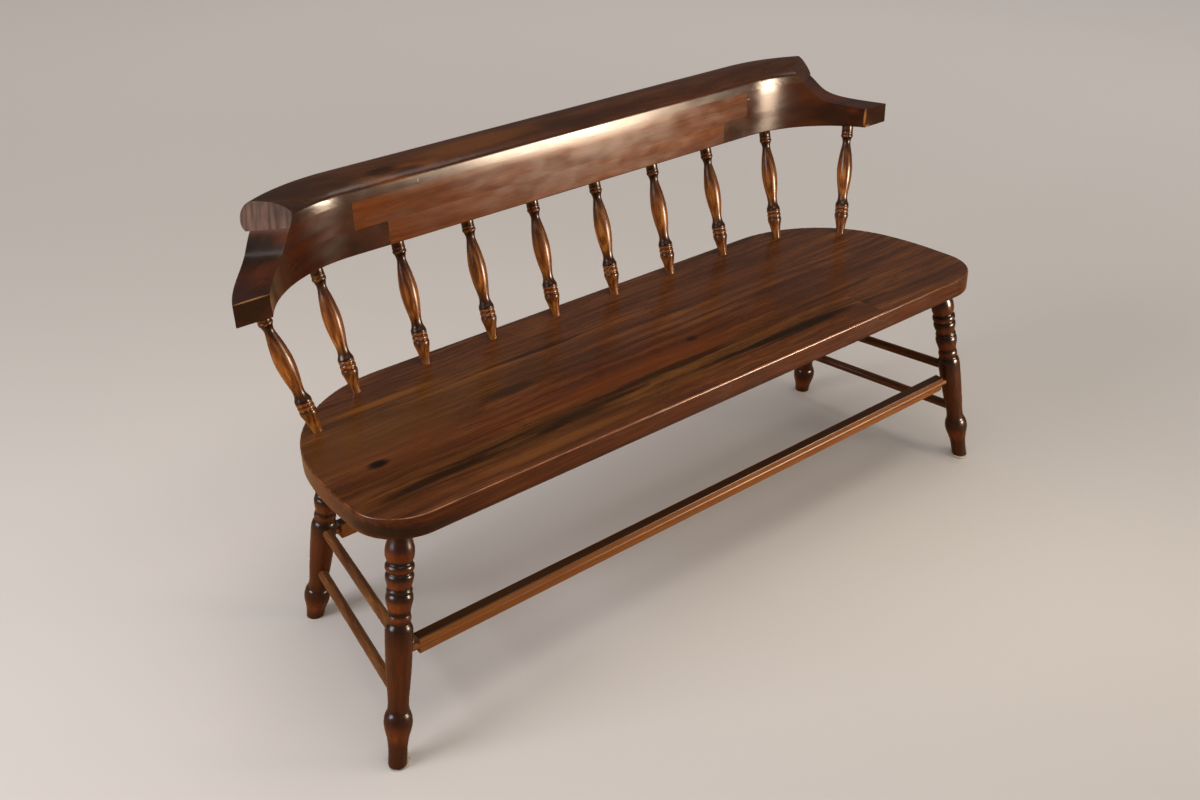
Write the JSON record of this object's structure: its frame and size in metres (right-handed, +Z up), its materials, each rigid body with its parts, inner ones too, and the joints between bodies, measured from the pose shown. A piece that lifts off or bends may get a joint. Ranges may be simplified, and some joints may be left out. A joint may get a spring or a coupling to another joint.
{
  "type": "deacons bench",
  "caption": "Long plank bench with raked turned legs, stretchers, turned back spindles and a bowed arm rail under a rolled crest.",
  "frame": {"origin": "on the floor under the middle of the bench", "axes": "+X along the bench to the sitter's left, +Y from front to back, +Z up"},
  "size_m": [1.3352, 0.5134, 0.7048],
  "materials": {
    "seat_boards": "dark walnut stain under satin lacquer",
    "arm_rail": "dark walnut stain under satin lacquer",
    "spindles": "shaded stain under gloss lacquer",
    "legs": "shaded stain under gloss lacquer",
    "stretchers": "worn stain under satin lacquer",
    "foot_pads": "pressed felt"
  },
  "bodies": {
    "root": {"crest_rail": "arm_rail", "foot_pad_left": "foot_pads", "foot_pad_right": "foot_pads", "front_stretcher": "stretchers", "leg_front_left": "legs", "leg_front_right": "legs", "leg_rear_left": "legs", "leg_rear_right": "legs", "rail_lower_centre": "arm_rail", "rail_lower_left": "arm_rail", "rail_lower_right": "arm_rail", "rail_middle_centre": "arm_rail", "rail_middle_left": "arm_rail", "rail_middle_right": "arm_rail", "rear_stretcher": "stretchers", "seat_board_back": "seat_boards", "seat_board_front_left": "seat_boards", "seat_board_front_right": "seat_boards", "seat_board_middle": "seat_boards", "side_stretcher_lower_left": "stretchers", "side_stretcher_lower_right": "stretchers", "side_stretcher_upper_left": "stretchers", "side_stretcher_upper_right": "stretchers", "spindle_01": "spindles", "spindle_02": "spindles", "spindle_03": "spindles", "spindle_04": "spindles", "spindle_05": "spindles", "spindle_06": "spindles", "spindle_07": "spindles", "spindle_08": "spindles", "spindle_09": "spindles", "spindle_10": "spindles"}
  },
  "joints": []
}
